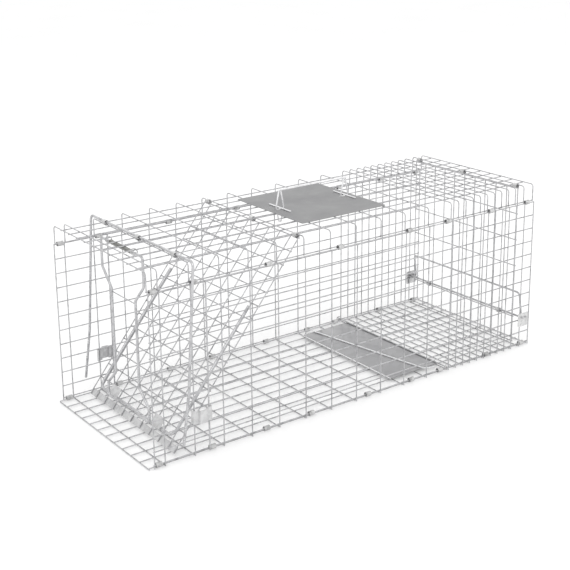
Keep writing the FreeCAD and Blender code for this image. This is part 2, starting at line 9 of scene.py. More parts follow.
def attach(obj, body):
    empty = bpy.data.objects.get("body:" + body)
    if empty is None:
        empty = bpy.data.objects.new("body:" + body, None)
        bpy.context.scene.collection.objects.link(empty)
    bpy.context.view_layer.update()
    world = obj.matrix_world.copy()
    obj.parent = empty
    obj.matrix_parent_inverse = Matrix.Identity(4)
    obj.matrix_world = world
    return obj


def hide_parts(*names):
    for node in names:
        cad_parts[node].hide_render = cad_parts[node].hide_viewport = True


# Looks of a one-door live catch cage.  Sizes are in millimetres, as in the CAD model;
# MM turns them into metres when a mesh is made.  The cage's front edge is at FRONT, and a
# station is a distance from it along the cage.
MM = 0.001
FRONT = -459.0
LENGTH = 927.0
LIP = 9.0  # the floor runs this far out in front of the walls

# Wires, rods and sheet
WIRE = 2.2
HEAVY = 5.0
MEDIUM = 4.0
LIGHT = 3.0
SHEET = 1.2
CLIP_SHEET = 0.8
SOFT_EDGE = 0.22
SHEET_BEND = 1.3
SNUG = 0.05  # gap between pieces that lie against each other
LIFT = 1.87  # between the centres of two crossing wires, which sink in a little

# Mesh panels
NOSE = FRONT - LIP - WIRE / 2
BOW = FRONT - WIRE / 2
TAIL = FRONT + LENGTH + WIRE / 2
EDGE_Y = 170.0
WALL_Y = 172.5
ROOF_Z = 354.9
ROOF_BEND = 6.0
FLANGE_Z = 320.2
CLOSE_PITCH = 20.333
WIDE = [21.0 + 61.0 * k for k in range(12)]
CLOSE = [692.0 + CLOSE_PITCH * k for k in range(1, 10)]
STATIONS = WIDE + CLOSE + [900.0, LENGTH]
LONG_PITCH = 31.0
LONG_ROWS = [LONG_PITCH * (k - 4.5) for k in range(10)]
ROW_PITCH = 28.6
WALL_ROWS = [6.6] + [31.6 + ROW_PITCH * k for k in range(11)]
HINGE_Z = 348.5

# Door and rear wall
DOOR_HINGE = Vector((FRONT + 326.0, 0.0, HINGE_Z))
DOOR_FOOT = Vector((FRONT + 50.0, 0.0, 7.0))
DOOR_LENGTH = (DOOR_FOOT - DOOR_HINGE).length
DOOR_HALF = 156.0
SILL_WIDTH = 13.0
REAR_X = FRONT + 900.0
REAR_HALF = 155.0
CROSS_ROD_X = FRONT + 903.2
CROSS_ROD_Z = 66.6
REAR_BAIL_X = FRONT + 914.0
REAR_BAIL_Z = 66.0

# Bails, posts, treadle and handle
LOCK_X = FRONT + 48.0
LOCK_Z = 347.6
LOCK_WAIST = 44.0
LOCK_SHOULDER = 76.0
OUTER_X = FRONT + 84.0
OUTER_Y = 183.0
OUTER_Z = 358.8
POST_X = FRONT + 112.0
TREADLE_HINGE_X = FRONT + 686.0
TREADLE_REAR = FRONT + 688.0
TREADLE_FRONT = TREADLE_REAR - 128.0
TREADLE_WIDTH = 292.0
TREADLE_Z = 7.7
LEGS = [FRONT + 397.0, FRONT + 558.0]
GRIP_Z = 394.0

random.seed(7)
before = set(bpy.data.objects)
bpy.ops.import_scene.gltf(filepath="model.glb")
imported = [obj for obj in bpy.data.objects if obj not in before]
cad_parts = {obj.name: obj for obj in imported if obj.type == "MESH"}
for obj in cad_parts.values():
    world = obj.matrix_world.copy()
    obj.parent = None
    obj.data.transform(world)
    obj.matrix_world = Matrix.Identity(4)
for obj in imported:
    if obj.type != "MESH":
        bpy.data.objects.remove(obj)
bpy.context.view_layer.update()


# ---------------------------------------------------------------- geometry helpers

def rounded_route(points, bends, steps=8):
    """Straight runs with a tangent arc of the given radius at each inner corner."""
    points = [Vector(p) for p in points]
    route = [points[0]]
    for corner, before, after, radius in zip(points[1:-1], points, points[2:], bends):
        into = (before - corner).normalized()
        out = (after - corner).normalized()
        half = into.angle(out) / 2
        trim = radius / math.tan(half)
        centre = corner + (into + out).normalized() * (radius / math.sin(half))
        first = corner + into * trim - centre
        last = corner + out * trim - centre
        axis = first.cross(last)
        sweep = first.angle(last)
        for i in range(steps + 1):
            route.append(centre + Matrix.Rotation(sweep * i / steps, 3, axis) @ first)
    route.append(points[-1])
    return route


def add_skin(mesh, rings):
    """Joins rings of vertices into a closed skin with a flat cap on each end."""
    for lower, upper in zip(rings, rings[1:]):
        for k in range(len(lower)):
            after = (k + 1) % len(lower)
            mesh.faces.new((lower[k], lower[after], upper[after], upper[k]))
    mesh.faces.new(rings[0][::-1])
    mesh.faces.new(rings[-1])


def add_tube(mesh, route, radius, sides=14, chamfer=0.22):
    """A round rod along a route, with its cut ends slightly rounded over."""
    route = [Vector(p) for p in route]
    tangents = []
    for i in range(len(route)):
        before = route[max(i - 1, 0)]
        after = route[min(i + 1, len(route) - 1)]
        tangents.append((after - before).normalized())
    edge = radius * chamfer
    rounding = [(0.0, edge), (edge * 0.35, edge * 0.35), (edge, 0.0)]
    stations = [(route[0] + tangents[0] * inset, tangents[0], radius - lost)
                for inset, lost in rounding]
    stations += [(p, t, radius) for p, t in zip(route[1:-1], tangents[1:-1])]
    stations += [(route[-1] - tangents[-1] * inset, tangents[-1], radius - lost)
                 for inset, lost in reversed(rounding)]
    side = tangents[0].orthogonal().normalized()
    rings = []
    for point, tangent, size in stations:
        side = (side - tangent * side.dot(tangent)).normalized()
        other = tangent.cross(side)
        loop = []
        for k in range(sides):
            angle = 2 * math.pi * k / sides
            place = point + (side * math.cos(angle) + other * math.sin(angle)) * size
            loop.append(mesh.verts.new(place * MM))
        rings.append(loop)
    add_skin(mesh, rings)


def add_rod(mesh, start, end, radius=WIRE / 2, **shape):
    """A straight rod, or by default a mesh wire, with a ring halfway along."""
    start = Vector(start)
    end = Vector(end)
    add_tube(mesh, [start, start.lerp(end, 0.5), end], radius, **shape)


def add_weld(mesh, point, normal, along):
    """The flattened nugget where two crossing wires are resistance welded."""
    sides = 10
    half_width = 1.16
    stretch = 1.12
    normal = Vector(normal)
    along = Vector(along)
    across = normal.cross(along)
    size = random.uniform(0.92, 1.08)
    rings = []
    for level, width in ((-0.5, 0.62), (-0.2, 0.98), (0.2, 0.98), (0.5, 0.62)):
        loop = []
        for k in range(sides):
            angle = 2 * math.pi * k / sides
            reach = half_width * width * size
            place = (Vector(point) + along * (reach * stretch * math.cos(angle))
                     + across * (reach * math.sin(angle)) + normal * (level * size))
            place.x = min(max(place.x, NOSE), TAIL)
            loop.append(mesh.verts.new(place * MM))
        rings.append(loop)
    add_skin(mesh, rings)


def finish_piece(name, mesh, material, body, replaced=(), matrix=None):
    """Turn a bmesh into a smooth-shaded piece that rides on a body."""
    if matrix is not None:
        mesh.transform(matrix)
    bmesh.ops.recalc_face_normals(mesh, faces=mesh.faces)
    data = bpy.data.meshes.new(name)
    mesh.to_mesh(data)
    mesh.free()
    finish_data(name, data, material, body, replaced)


def finish_data(name, data, material, body, replaced=()):
    """Turn mesh data into a piece: material, shading, body and the nodes it replaces."""
    data.materials.clear()
    data.materials.append(material)
    data.shade_smooth()
    data.set_sharp_from_angle(angle=math.radians(38))
    piece = bpy.data.objects.new(name, data)
    bpy.context.scene.collection.objects.link(piece)
    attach(piece, body)
    if replaced:
        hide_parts(*replaced)


def rod_piece(name, route, diameter, material, body, replaced=(), matrix=None, sides=20):
    """A piece made of one rod along a route."""
    mesh = bmesh.new()
    add_tube(mesh, route, diameter / 2, sides=sides)
    finish_piece(name, mesh, material, body, replaced, matrix)


def in_metres(matrix):
    """The same placement for a mesh that is already in metres."""
    scaled = matrix.copy()
    scaled.translation = matrix.translation * MM
    return scaled


def plate_data(name, loops, thickness, matrix):
    """A flat plate from closed outlines, the first one outside, with softened edges.

    The plate is centred on its own XY plane; matrix puts it in place, in millimetres."""
    curve = bpy.data.curves.new(name, "CURVE")
    curve.dimensions = "2D"
    curve.fill_mode = "BOTH"
    curve.extrude = (thickness / 2 - SOFT_EDGE) * MM
    curve.bevel_depth = SOFT_EDGE * MM
    curve.bevel_resolution = 2
    curve.offset = -SOFT_EDGE * MM
    for loop in loops:
        spline = curve.splines.new("POLY")
        spline.points.add(len(loop) - 1)
        for point, (x, y) in zip(spline.points, loop):
            point.co = (x * MM, y * MM, 0, 1)
        spline.use_cyclic_u = True
    holder = bpy.data.objects.new(name + "_curve", curve)
    bpy.context.scene.collection.objects.link(holder)
    bpy.context.view_layer.update()
    graph = bpy.context.evaluated_depsgraph_get()
    data = bpy.data.meshes.new_from_object(holder.evaluated_get(graph))
    bpy.data.objects.remove(holder)
    data.transform(in_metres(matrix))
    data.name = name
    return data


def rounded_corners(corners, radius, steps=5):
    """A closed outline with its corners rounded."""
    outline = []
    count = len(corners)
    for i in range(count):
        before = Vector(corners[i - 1]).to_3d()
        corner = Vector(corners[i]).to_3d()
        after = Vector(corners[(i + 1) % count]).to_3d()
        arc = rounded_route([before, corner, after], [radius], steps)[1:-1]
        outline += [(p.x, p.y) for p in arc]
    return outline


def bent_strip(spine, thickness, bend):
    """Side outline of folded sheet: the spine's corners become true bends."""
    route = rounded_route([Vector((x, y, 0)) for x, y in spine], [bend] * (len(spine) - 2), 6)
    left = []
    for i, point in enumerate(route):
        before = route[max(i - 1, 0)]
        after = route[min(i + 1, len(route) - 1)]
        run = (after - before).normalized()
        left.append(point + Vector((-run.y, run.x, 0)) * thickness)
    return [(p.x, p.y) for p in route] + [(p.x, p.y) for p in reversed(left)]


def mirrored(points):
    """A route up one side, followed by the same route back down the other side."""
    return points + [(x, -y, z) for x, y, z in reversed(points)]


def rectangle(x0, y0, x1, y1):
    return [(x0, y0), (x1, y0), (x1, y1), (x0, y1)]


def circle(x, y, radius, count=28):
    return [(x + radius * math.cos(2 * math.pi * k / count),
             y + radius * math.sin(2 * math.pi * k / count)) for k in range(count)]


def add_ring(mesh, centre, normal, radius, wire):
    """A wire ring whose ends lap each other."""
    normal = Vector(normal).normalized()
    upward = Vector((0, 0, 1))
    sideways = normal.cross(upward)
    sweep = 2 * math.pi + math.radians(14)
    start = random.uniform(0, 2 * math.pi)
    steps = 40
    route = []
    for i in range(steps + 1):
        share = i / steps
        angle = start + sweep * share
        slide = (share - 0.5) * wire * 0.9
        outward = upward * math.cos(angle) + sideways * math.sin(angle)
        route.append(Vector(centre) + outward * radius + normal * slide)
    add_tube(mesh, route, wire / 2, sides=12, chamfer=0.45)


def add_clip(mesh, centre, along, bore, width, start, sweep):
    """A sheet clip curled round its wires, with softened rims and a pressed groove."""
    along = Vector(along)
    first = Vector((0, 0, 1))
    other = along.cross(first)
    # Across the sheet: shares of the width, and levels from its inner to its outer face.
    profile = [(-0.5, 0.12), (-0.47, 0.0), (0.47, 0.0), (0.5, 0.12), (0.5, 0.88), (0.47, 1.0),
               (0.16, 1.0), (0.08, 0.93), (-0.08, 0.93), (-0.16, 1.0), (-0.47, 1.0), (-0.5, 0.88)]
    steps = 36
    rings = []
    for i in range(steps + 1):
        angle = start + sweep * i / steps
        pinch = 1.0 + 0.02 * math.cos(2 * angle)
        outward = first * math.cos(angle) + other * math.sin(angle)
        rings.append([mesh.verts.new((Vector(centre) + along * (width * share)
                                      + outward * (bore * pinch + CLIP_SHEET * level)) * MM)
                      for share, level in profile])
    add_skin(mesh, rings)


# ---------------------------------------------------------------- materials

def nodes_of(name):
    """A new material, its node tree and its shader."""
    material = bpy.data.materials.new(name)
    material.use_nodes = True
    tree = material.node_tree
    return material, tree, tree.nodes["Principled BSDF"]


def link(tree, source, target):
    tree.links.new(source, target)


def noise(tree, coordinate, scale, detail=4.0, rough=0.55):
    node = tree.nodes.new("ShaderNodeTexNoise")
    node.inputs["Scale"].default_value = scale
    node.inputs["Detail"].default_value = detail
    node.inputs["Roughness"].default_value = rough
    link(tree, coordinate, node.inputs["Vector"])
    return node.outputs["Fac"]


def ramp(tree, factor, stops):
    node = tree.nodes.new("ShaderNodeValToRGB")
    elements = node.color_ramp.elements
    while len(elements) < len(stops):
        elements.new(0.5)
    for element, (place, colour) in zip(elements, stops):
        element.position = place
        element.color = (*colour, 1.0)
    link(tree, factor, node.inputs["Fac"])
    return node.outputs["Color"]


def map_range(tree, value, low, high):
    """Spreads the middle of a noise over the range from low to high."""
    node = tree.nodes.new("ShaderNodeMapRange")
    node.inputs["From Min"].default_value = 0.3
    node.inputs["From Max"].default_value = 0.7
    node.inputs["To Min"].default_value = low
    node.inputs["To Max"].default_value = high
    link(tree, value, node.inputs["Value"])
    return node.outputs["Result"]


def multiply(tree, factor, first, second):
    """The first colour darkened by the second, by a share of factor."""
    node = tree.nodes.new("ShaderNodeMix")
    node.data_type = "RGBA"
    node.blend_type = "MULTIPLY"
    node.inputs["Factor"].default_value = factor
    link(tree, first, node.inputs["A"])
    link(tree, second, node.inputs["B"])
    return node.outputs["Result"]


def bump(tree, shader, height, strength, distance):
    node = tree.nodes.new("ShaderNodeBump")
    node.inputs["Strength"].default_value = strength
    node.inputs["Distance"].default_value = distance
    link(tree, height, node.inputs["Height"])
    link(tree, node.outputs["Normal"], shader.inputs["Normal"])


def zinc_wire(name, light, dark, metallic, rough, lump=0.35):
    """Dipped or plated wire: cloudy zinc, small runs, duller patches, dark specks."""
    material, tree, shader = nodes_of(name)
    coordinate = tree.nodes.new("ShaderNodeTexCoord").outputs["Object"]
    cloud = noise(tree, coordinate, 95.0, 5.0)
    fine = noise(tree, coordinate, 900.0, 3.0)
    lightest = tuple(min(1.0, channel * 1.06) for channel in light)
    base = ramp(tree, cloud, [(0.30, dark), (0.52, light), (0.75, lightest)])
    speck = ramp(tree, fine, [(0.26, (0.62, 0.62, 0.63)), (0.36, (1.0, 1.0, 1.0))])
    link(tree, multiply(tree, 0.55, base, speck), shader.inputs["Base Color"])
    smooth, dull = rough
    link(tree, map_range(tree, cloud, dull, smooth), shader.inputs["Roughness"])
    shader.inputs["Metallic"].default_value = metallic
    bump(tree, shader, noise(tree, coordinate, 420.0, 4.0), lump, 0.00025)
    return material


def zinc_sheet(name, light, dark, metallic, rough, spangle=70.0):
    """Galvanised sheet: crystal spangle, rolling lines, faint scuffs."""
    material, tree, shader = nodes_of(name)
    coordinate = tree.nodes.new("ShaderNodeTexCoord").outputs["Object"]
    crystal = tree.nodes.new("ShaderNodeTexVoronoi")
    crystal.inputs["Scale"].default_value = spangle
    crystal.inputs["Randomness"].default_value = 1.0
    link(tree, coordinate, crystal.inputs["Vector"])
    grey = tree.nodes.new("ShaderNodeRGBToBW")
    link(tree, crystal.outputs["Color"], grey.inputs["Color"])
    base = ramp(tree, grey.outputs["Val"], [(0.15, dark), (0.85, light)])
    cloud = noise(tree, coordinate, 14.0, 6.0, 0.6)
    tone = ramp(tree, cloud, [(0.35, (0.90, 0.90, 0.91)), (0.65, (1.0, 1.0, 1.0))])
    stretch = tree.nodes.new("ShaderNodeMapping")
    stretch.inputs["Scale"].default_value = (12.0, 900.0, 900.0)
    link(tree, coordinate, stretch.inputs["Vector"])
    lines = noise(tree, stretch.outputs["Vector"], 1.0, 3.0)
    scuff = ramp(tree, lines, [(0.30, (0.93, 0.93, 0.93)), (0.60, (1.0, 1.0, 1.0))])
    toned = multiply(tree, 1.0, base, tone)
    link(tree, multiply(tree, 0.8, toned, scuff), shader.inputs["Base Color"])
    smooth, dull = rough
    link(tree, map_range(tree, cloud, dull, smooth), shader.inputs["Roughness"])
    shader.inputs["Metallic"].default_value = metallic
    bump(tree, shader, lines, 0.12, 0.0002)
    return material


MESH_WIRE = zinc_wire("mesh_wire_zinc", light=(0.50, 0.50, 0.51), dark=(0.30, 0.30, 0.31),
                      metallic=0.6, rough=(0.26, 0.46))
ROD_ZINC = zinc_wire("rod_zinc", light=(0.54, 0.54, 0.55), dark=(0.36, 0.36, 0.37),
                     metallic=0.65, rough=(0.22, 0.4), lump=0.2)
# A lighter copy of rod_zinc: its extra lightness is painted highlight. The treadle arm, the
# treadle's rolled hem, the handle and its pins use it.
ROD_ZINC_PAINTED_HIGHLIGHT = zinc_wire("rod_zinc_painted_highlight", light=(0.86, 0.86, 0.87), dark=(0.70, 0.70, 0.71),
                       metallic=0.4, rough=(0.2, 0.38), lump=0.2)
CLIP_ZINC = zinc_wire("clip_zinc", light=(0.58, 0.58, 0.58), dark=(0.32, 0.32, 0.32),
                      metallic=0.6, rough=(0.3, 0.5))
SPRING_DARK = zinc_wire("spring_dark", light=(0.24, 0.24, 0.23), dark=(0.13, 0.13, 0.12),
                        metallic=0.7, rough=(0.3, 0.5))
PLATE_ZINC = zinc_sheet("plate_zinc", light=(0.287, 0.287, 0.29), dark=(0.275, 0.275, 0.278),
                        metallic=0.15, rough=(0.45, 0.6))
TREADLE_ZINC = zinc_sheet("treadle_zinc", light=(0.42, 0.42, 0.425), dark=(0.37, 0.37, 0.375),
                          metallic=0.4, rough=(0.14, 0.26))
SMALL_ZINC = zinc_sheet("small_plate_zinc", light=(0.70, 0.70, 0.70), dark=(0.56, 0.56, 0.56),
                        metallic=0.35, rough=(0.25, 0.45), spangle=160.0)


# ---------------------------------------------------------------- welded panels

def floor_mesh():
    """Cross wires on the ground with the long wires on top of them."""
    mesh = bmesh.new()
    half = EDGE_Y + WIRE / 2
    crosses = [-LIP] + STATIONS
    rows = [-EDGE_Y] + LONG_ROWS + [EDGE_Y]
    for place in crosses:
        add_rod(mesh, (FRONT + place, -half, WIRE / 2), (FRONT + place, half, WIRE / 2))
    z = WIRE / 2 + LIFT
    for y in rows:
        add_rod(mesh, (NOSE, y, z), (TAIL, y, z))
    for place in crosses:
        for y in rows:
            add_weld(mesh, (FRONT + place, y, WIRE / 2 + LIFT / 2), (0, 0, 1), (1, 0, 0))
    finish_piece("floor_mesh", mesh, MESH_WIRE, "cage", ["floor_panel"])


def wall_mesh(name, side, node):
    """Long wires inside and uprights outside; side is -1 for the near wall."""
    mesh = bmesh.new()
    uprights = [0.0] + STATIONS
    top = WALL_ROWS[-1] + WIRE / 2
    for z in WALL_ROWS:
        add_rod(mesh, (BOW, side * WALL_Y, z), (TAIL, side * WALL_Y, z))
    for place in uprights:
        y = side * (WALL_Y + LIFT)
        add_rod(mesh, (FRONT + place, y, 0.5), (FRONT + place, y, top))
    for place in uprights:
        for z in WALL_ROWS:
            add_weld(mesh, (FRONT + place, side * (WALL_Y + LIFT / 2), z), (0, 1, 0), (0, 0, 1))
    finish_piece(name, mesh, MESH_WIRE, "cage", [node])


def roof_mesh():
    """Cross wires bent down into a flange along both edges, over the long wires."""
    mesh = bmesh.new()
    low = FLANGE_Z - WIRE / 2
    places = [0.0] + STATIONS
    for place in places:
        x = FRONT + place
        route = rounded_route([(x, -EDGE_Y, low), (x, -EDGE_Y, ROOF_Z), (x, EDGE_Y, ROOF_Z),
                               (x, EDGE_Y, low)], [ROOF_BEND, ROOF_BEND], 8)
        add_tube(mesh, route, WIRE / 2)
    z = ROOF_Z - LIFT
    for y in LONG_ROWS:
        add_rod(mesh, (BOW, y, z), (TAIL, y, z))
    for side in (-1, 1):
        y = side * (EDGE_Y - LIFT)
        add_rod(mesh, (BOW, y, FLANGE_Z), (TAIL, y, FLANGE_Z))
    for place in places:
        for y in LONG_ROWS:
            add_weld(mesh, (FRONT + place, y, ROOF_Z - LIFT / 2), (0, 0, 1), (0, 1, 0))
        for side in (-1, 1):
            add_weld(mesh, (FRONT + place, side * (EDGE_Y - LIFT / 2), FLANGE_Z),
                     (0, 1, 0), (0, 0, 1))
    finish_piece("roof_mesh", mesh, MESH_WIRE, "cage", ["top_panel"])


def door_matrix():
    """The door's own frame, in millimetres: X down its slope, Y across, Z out of its front."""
    down = (DOOR_FOOT - DOOR_HINGE).normalized()
    front = Vector((down.z, 0, -down.x))
    across = front.cross(down)
    turn = Matrix((down, across, front)).transposed().to_4x4()
    return Matrix.Translation(DOOR_HINGE) @ turn


DOOR = door_matrix()


def door_mesh():
    """Drawn in the door's own frame, with its long wires on the front."""
    mesh = bmesh.new()
    half = DOOR_HALF + WIRE / 2
    rows = [ROW_PITCH * k for k in range(15)]
    longs = [-DOOR_HALF] + [33.5 * k for k in range(-4, 5)] + [DOOR_HALF]
    for s in rows:
        add_rod(mesh, (s, -half, 0), (s, half, 0))
    for y in longs:
        add_rod(mesh, (-WIRE / 2, y, LIFT), (DOOR_LENGTH, y, LIFT))
    for s in rows:
        for y in longs:
            add_weld(mesh, (s, y, LIFT / 2), (0, 0, 1), (1, 0, 0))
    finish_piece("door_mesh", mesh, MESH_WIRE, "door", ["door_panel"],
                 in_metres(DOOR))


def rear_mesh():
    """Cross wires with the uprights on their inner side."""
    mesh = bmesh.new()
    x = REAR_X
    half = REAR_HALF + WIRE / 2
    rows = [7.0] + [63.2 + 2 * ROW_PITCH * k for k in range(5)] + [HINGE_Z]
    uprights = [LONG_PITCH * k for k in range(-5, 6)]
    for z in rows:
        add_rod(mesh, (x, -half, z), (x, half, z))
    for y in uprights:
        add_rod(mesh, (x - LIFT, y, 5.6), (x - LIFT, y, HINGE_Z + WIRE / 2))
    for z in rows:
        for y in uprights:
            add_weld(mesh, (x - LIFT / 2, y, z), (1, 0, 0), (0, 0, 1))
    finish_piece("rear_mesh", mesh, MESH_WIRE, "rear_wall", ["rear_panel"])


# ---------------------------------------------------------------- rings and clips

def clip_group(name, node, places, along, bore, width, start, sweep=math.radians(348)):
    """A clip at each place, curled about a line along the given axis."""
    mesh = bmesh.new()
    for centre in places:
        add_clip(mesh, centre, along, bore, width, start, sweep)
    finish_piece(name, mesh, CLIP_ZINC, "cage", [node])


def clips_and_rings():
    low = [10, 120, 238, 341, 480, 593, 671, 803.8, 910]
    high = [10.5, 91, 247, 410, 581, 683, 803.8, 910]
    along_cage = (1, 0, 0)
    across = (0, 1, 0)
    for name, node, places, z in (("floor_seam_clips", "lower_seam_clips", low, 5.6),
                                  ("roof_seam_clips", "upper_seam_clips", high, 318.9)):
        centres = [(FRONT + place, side * (EDGE_Y + 0.4), z) for place in places
                   for side in (-1, 1)]
        clip_group(name, node, centres, along_cage, bore=3.85, width=12.0, start=2.4)
    hung = {"along": across, "bore": 4.5, "width": 10.0, "start": 3.6}
    middle = (ROOF_Z + HINGE_Z) / 2
    clip_group("door_clips", "door_hinge_clips",
               [(DOOR_HINGE.x, y, middle) for y in (-146, -8, 146)], **hung)
    clip_group("rear_clips_top", "rear_hinge_clips",
               [(REAR_X, y, middle) for y in (-147, 8, 147)], **hung)
    clip_group("outer_bail_ties", "outer_bail_clips",
               [(OUTER_X - 0.8, y, 357.4) for y in (-124, 0, 124)], **hung)
    open_clip = {**hung, "start": math.radians(-73), "sweep": math.radians(290)}
    clip_group("rear_wall_clips", "rear_clips",
               [(FRONT + 901.6, y, 64.9) for y in (-110, 110)], **open_clip)
    mesh = bmesh.new()
    for y in (-46.5, 46.5):
        add_ring(mesh, (LOCK_X, y, LOCK_Z + 2.0), (1, 1, 0), radius=6.0, wire=1.8)
    finish_piece("lock_bail_ties", mesh, CLIP_ZINC, "cage", ["lock_bail_rings"])
    mesh = bmesh.new()
    for side in (-1, 1):
        centre = (TREADLE_HINGE_X, side * (WALL_Y + 0.8), 8.6)
        add_ring(mesh, centre, (1, side, 0), radius=4.7, wire=1.7)
    finish_piece("treadle_ties", mesh, CLIP_ZINC, "cage", ["treadle_hinge_rings"])


# ---------------------------------------------------------------- rods

def lock_bail():
    """The bail that hangs in front of the door, its tie wire and the spring on its top."""
    x = LOCK_X
    outline = [(x, 38, 36), (x, LOCK_SHOULDER, 36), (x, LOCK_SHOULDER, 62), (x, LOCK_WAIST, 92),
               (x, LOCK_WAIST, 258), (x, LOCK_SHOULDER, 292), (x, LOCK_SHOULDER, LOCK_Z)]
    bends = [6, 8, 10, 10, 10, 7]
    rod_piece("lock_bail_rod", rounded_route(mirrored(outline), bends + bends[::-1]), HEAVY,
              ROD_ZINC, "lock_bail", ["lock_bail"])
    half = LOCK_WAIST - HEAVY / 2 - SNUG
    rod_piece("lock_bail_tie_wire", [(x, -half, 252), (x, 0, 252), (x, half, 252)], WIRE,
              ROD_ZINC, "lock_bail", ["lock_bail_tie"])
    turns = 48
    steps = 16
    half_length = 39.2
    radius = HEAVY / 2 + 0.95
    helix = []
    for i in range(turns * steps + 1):
        angle = 2 * math.pi * i / steps
        y = -half_length + 2 * half_length * i / (turns * steps)
        helix.append((x + radius * math.cos(angle), y, LOCK_Z + radius * math.sin(angle)))
    rod_piece("lock_bail_coil", helix, 1.42, SPRING_DARK, "lock_bail",
              ["lock_bail_spring"], sides=8)


def outer_bail():
    outer = [(FRONT + 54, OUTER_Y, 31), (FRONT + 68, OUTER_Y, 130), (OUTER_X, OUTER_Y, OUTER_Z)]
    rod_piece("outer_bail_rod", rounded_route(mirrored(outer), [60, 9, 9, 60]), HEAVY, ROD_ZINC,
              "outer_bail", ["outer_bail"])


def door_stiffener():
    """A rod on the door's front; its route runs down the slope, across and back up."""
    out = LIFT + WIRE / 2 + HEAVY / 2 + SNUG
    top, bottom, half = 150, 416, 135
    route = [(top, half, out), (bottom, half, out), (bottom, -half, out), (top, -half, out)]
    rod_piece("door_stiffener", rounded_route(route, [14, 14]), HEAVY, ROD_ZINC, "door",
              ["door_frame_rod"], in_metres(DOOR))


def rear_rods():
    """The loop that swings behind the rear wall, and the rod that holds the wall shut."""
    side = 165
    loop = [(REAR_BAIL_X, WALL_Y + 8, REAR_BAIL_Z), (REAR_BAIL_X, side, REAR_BAIL_Z),
            (FRONT + 906.5, side, 118)]
    rod_piece("rear_bail_rod", rounded_route(mirrored(loop), [5, 8, 8, 5]), MEDIUM, ROD_ZINC,
              "rear_bail", ["rear_bail"])
    reach = WALL_Y + 9
    route = [(CROSS_ROD_X, y, CROSS_ROD_Z) for y in (-reach, 0, reach)]
    rod_piece("rear_cross_rod", route, MEDIUM, ROD_ZINC, "cage", ["rear_lock_rod"])


def door_posts():
    for name, node, side in (("near_post_rod", "near_door_post", -1),
                             ("far_post_rod", "far_door_post", 1)):
        y = side * (WALL_Y + WIRE / 2 + LIGHT / 2 + SNUG)
        rod_piece(name, [(POST_X, y, 3), (POST_X, y, 150), (POST_X, y, 316.6)], LIGHT, ROD_ZINC,
                  "cage", [node])


def treadle_rods():
    """The arm across the treadle and the rod that it tilts about."""
    z = TREADLE_Z + LIGHT / 2 + SNUG
    arm = [(FRONT + 590, 156, z), (FRONT + 645, -152, z), (FRONT + 668, -160, z)]
    # The arm's light material is painted highlight, not a lighter finish.
    rod_piece("treadle_arm_rod", rounded_route(arm, [12]), LIGHT, ROD_ZINC_PAINTED_HIGHLIGHT, "treadle",
              ["treadle_arm"])
    reach = WALL_Y + 5
    route = [(TREADLE_HINGE_X, y, z) for y in (-reach, 0, reach)]
    rod_piece("treadle_pivot_rod", route, LIGHT, ROD_ZINC, "treadle",
              ["treadle_hinge_rod"])


def handle():
    """Each leg's wire ends curl over the grip and are pressed onto it."""
    mesh = bmesh.new()
    for x in LEGS:
        foot = 331
        widest = 360
        loop = [(x + 2.2, 0, GRIP_Z - 0.8), (x + 9, 0, widest), (x + 2.5, 0, foot),
                (x - 2.5, 0, foot), (x - 9, 0, widest), (x - 2.2, 0, GRIP_Z - 0.8)]
        add_tube(mesh, rounded_route(loop, [12, 2.4, 2.4, 12]), LIGHT / 2, sides=16)
        for shift in (-2.2, 2.2):
            collar = [(x + shift + step, 0, GRIP_Z - 0.3) for step in (-1.3, 0, 1.3)]
            add_tube(mesh, collar, 2.3, sides=20, chamfer=0.45)
    overhang = 5
    add_rod(mesh, (LEGS[0] - overhang, 0, GRIP_Z), (LEGS[1] + overhang, 0, GRIP_Z), MEDIUM / 2,
            sides=20, chamfer=0.5)
    # The handle's light material is painted highlight.
    finish_piece("handle_wire", mesh, ROD_ZINC_PAINTED_HIGHLIGHT, "cage", ["carry_handle"])
    mesh = bmesh.new()
    for x in LEGS:
        for z in (358.9, 350.33):
            add_rod(mesh, (x, -35, z), (x, 35, z), LIGHT / 2, sides=16)
    # The pins' light material is painted highlight.
    finish_piece("handle_pin_wires", mesh, ROD_ZINC_PAINTED_HIGHLIGHT, "cage",
                 ["handle_cross_pins"])


# ---------------------------------------------------------------- sheet pieces

def sheet_piece(name, loops, thickness, matrix, material, body, node):
    """A piece made of one flat or folded plate, in place of the CAD node."""
    data = plate_data(name, loops, thickness, matrix)
    finish_data(name, data, material, body, [node])


def side_view(y):
    """Places an outline drawn in the XZ plane, extruded along Y about the given y."""
    turn = Matrix(((1, 0, 0), (0, 0, -1), (0, 1, 0))).to_4x4()
    return Matrix.Translation((0, y, 0)) @ turn


def hand_guard():
    """The roof plate under the grip, with a slot for each leg of the handle."""
    outline = rounded_corners(rectangle(FRONT + 370, -108, FRONT + 575, 108), 3.0)
    slots = [rounded_corners(rectangle(x - 12, -3, x + 12, 3), 2.9) for x in LEGS]
    sheet_piece("hand_guard", [outline] + slots, SHEET,
                Matrix.Translation((0, 0, 356.1 + SHEET / 2)), PLATE_ZINC, "cage", "guard_plate")


def treadle_pan():
    """A plate with its front edge turned down over a rolled hem."""
    spine = [(TREADLE_FRONT, TREADLE_Z - 2.6), (TREADLE_FRONT, TREADLE_Z),
             (TREADLE_REAR, TREADLE_Z)]
    sheet_piece("treadle_pan", [bent_strip(spine, -SHEET, 1.25)], TREADLE_WIDTH, side_view(0),
                TREADLE_ZINC, "treadle", "treadle_plate")
    hem = [(TREADLE_FRONT + 0.9, y, 7.0) for y in (-145.8, -50.0, 50.0, 145.8)]
    # The hem rod's light material paints the highlight along the treadle's front edge.
    rod_piece("treadle_rolled_hem", hem, 2.2, ROD_ZINC_PAINTED_HIGHLIGHT, "treadle")


